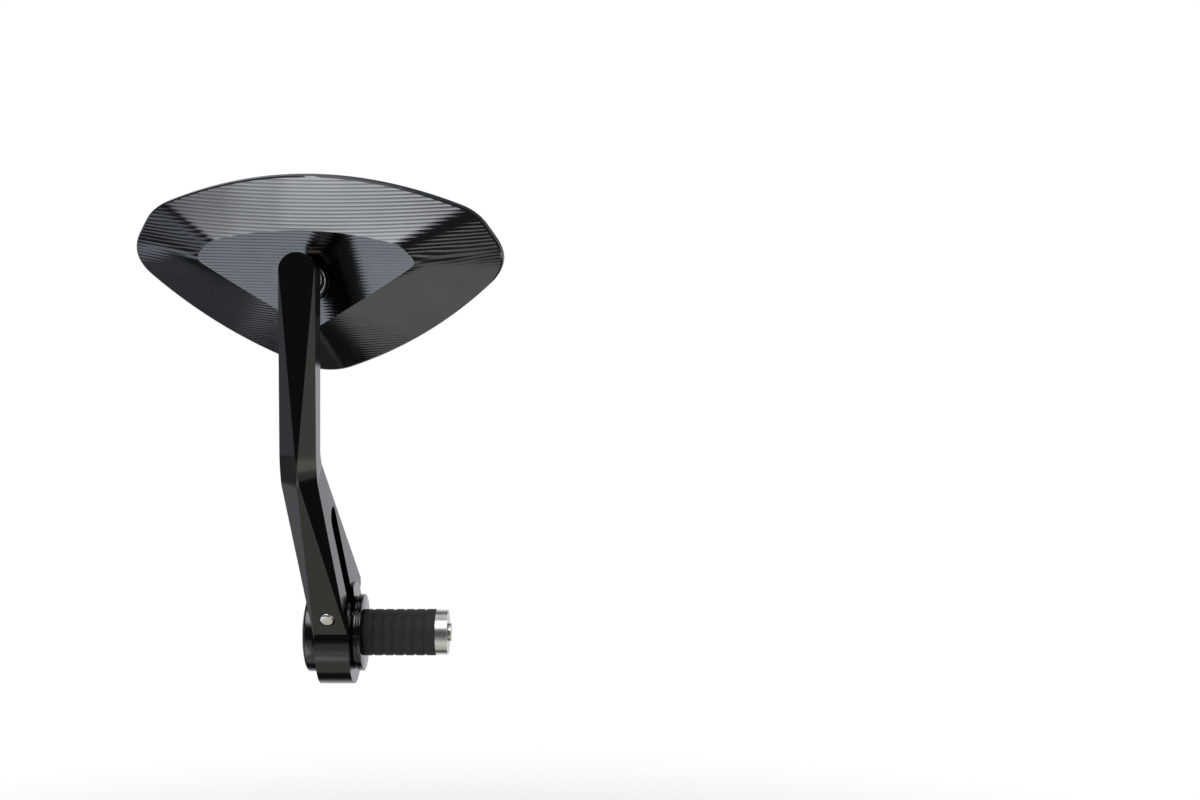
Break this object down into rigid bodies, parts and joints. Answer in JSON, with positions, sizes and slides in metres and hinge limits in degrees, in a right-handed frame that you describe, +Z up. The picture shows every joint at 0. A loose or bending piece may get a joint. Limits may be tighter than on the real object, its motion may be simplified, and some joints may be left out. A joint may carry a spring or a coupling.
{
  "type": "motorcycle bar end mirror",
  "caption": "Bar end mirror with a faceted milled head on a ball joint, a bent clamp arm and an expanding plug for a handlebar end.",
  "frame": {"origin": "on the bar axis, at the face of the collar that seats on the end of the handlebar", "axes": "+X along the handlebar towards the machine, +Y towards the rider, +Z up"},
  "size_m": [0.1215, 0.072, 0.1669],
  "materials": {
    "black_anodised": "gloss black anodised, milled and turned",
    "milled_black": "gloss black anodised over milled rows",
    "steel": "zinc plated, turned",
    "polished_steel": "polished",
    "spring_steel": "phosphated",
    "plug_rubber": "moulded, matt",
    "foam": "closed cell foam tape",
    "seat_plastic": "moulded acetal",
    "slip_plastic": "skived sheet",
    "mirror": "silvered convex glass"
  },
  "bodies": {
    "bar_fitting": {"spigot": "black_anodised", "spacer_ring": "black_anodised", "end_cap": "black_anodised", "centre_bolt": "steel", "lock_washer": "spring_steel", "expander_plug": "plug_rubber", "expander_nut": "steel"},
    "arm": {"arm": "black_anodised", "pinch_screw": "steel", "ball_stud": "polished_steel", "stud_washer": "spring_steel"},
    "seat": {"ball_seat": "seat_plastic"},
    "socket": {"socket_cup": "black_anodised", "closing_ring": "black_anodised"},
    "head": {"mirror_shell": "milled_black", "slip_washer": "slip_plastic", "wave_washer": "spring_steel", "retaining_ring": "spring_steel", "foam_tape": "foam", "mirror_glass": "mirror"}
  },
  "joints": [
    {"name": "arm_swing", "type": "hinge", "parent": "bar_fitting", "child": "arm", "pos_m": [0, 0, 0], "axis": [1, 0, 0], "continuous": true},
    {"name": "head_pitch", "type": "hinge", "parent": "arm", "child": "seat", "pos_m": [-0.0133, -0.031, 0.1175], "axis": [1, 0, 0], "range_deg": [-43.4, 4.6]},
    {"name": "head_yaw", "type": "hinge", "parent": "seat", "child": "socket", "pos_m": [-0.0133, -0.031, 0.1175], "axis": [0, -0.3971, 0.9178], "range_deg": [-6, 26]},
    {"name": "head_spin", "type": "hinge", "parent": "socket", "child": "head", "pos_m": [-0.0133, -0.031, 0.1175], "axis": [0.1736, 0.9038, 0.3911], "range_deg": [-12.9, 17.1]}
  ]
}
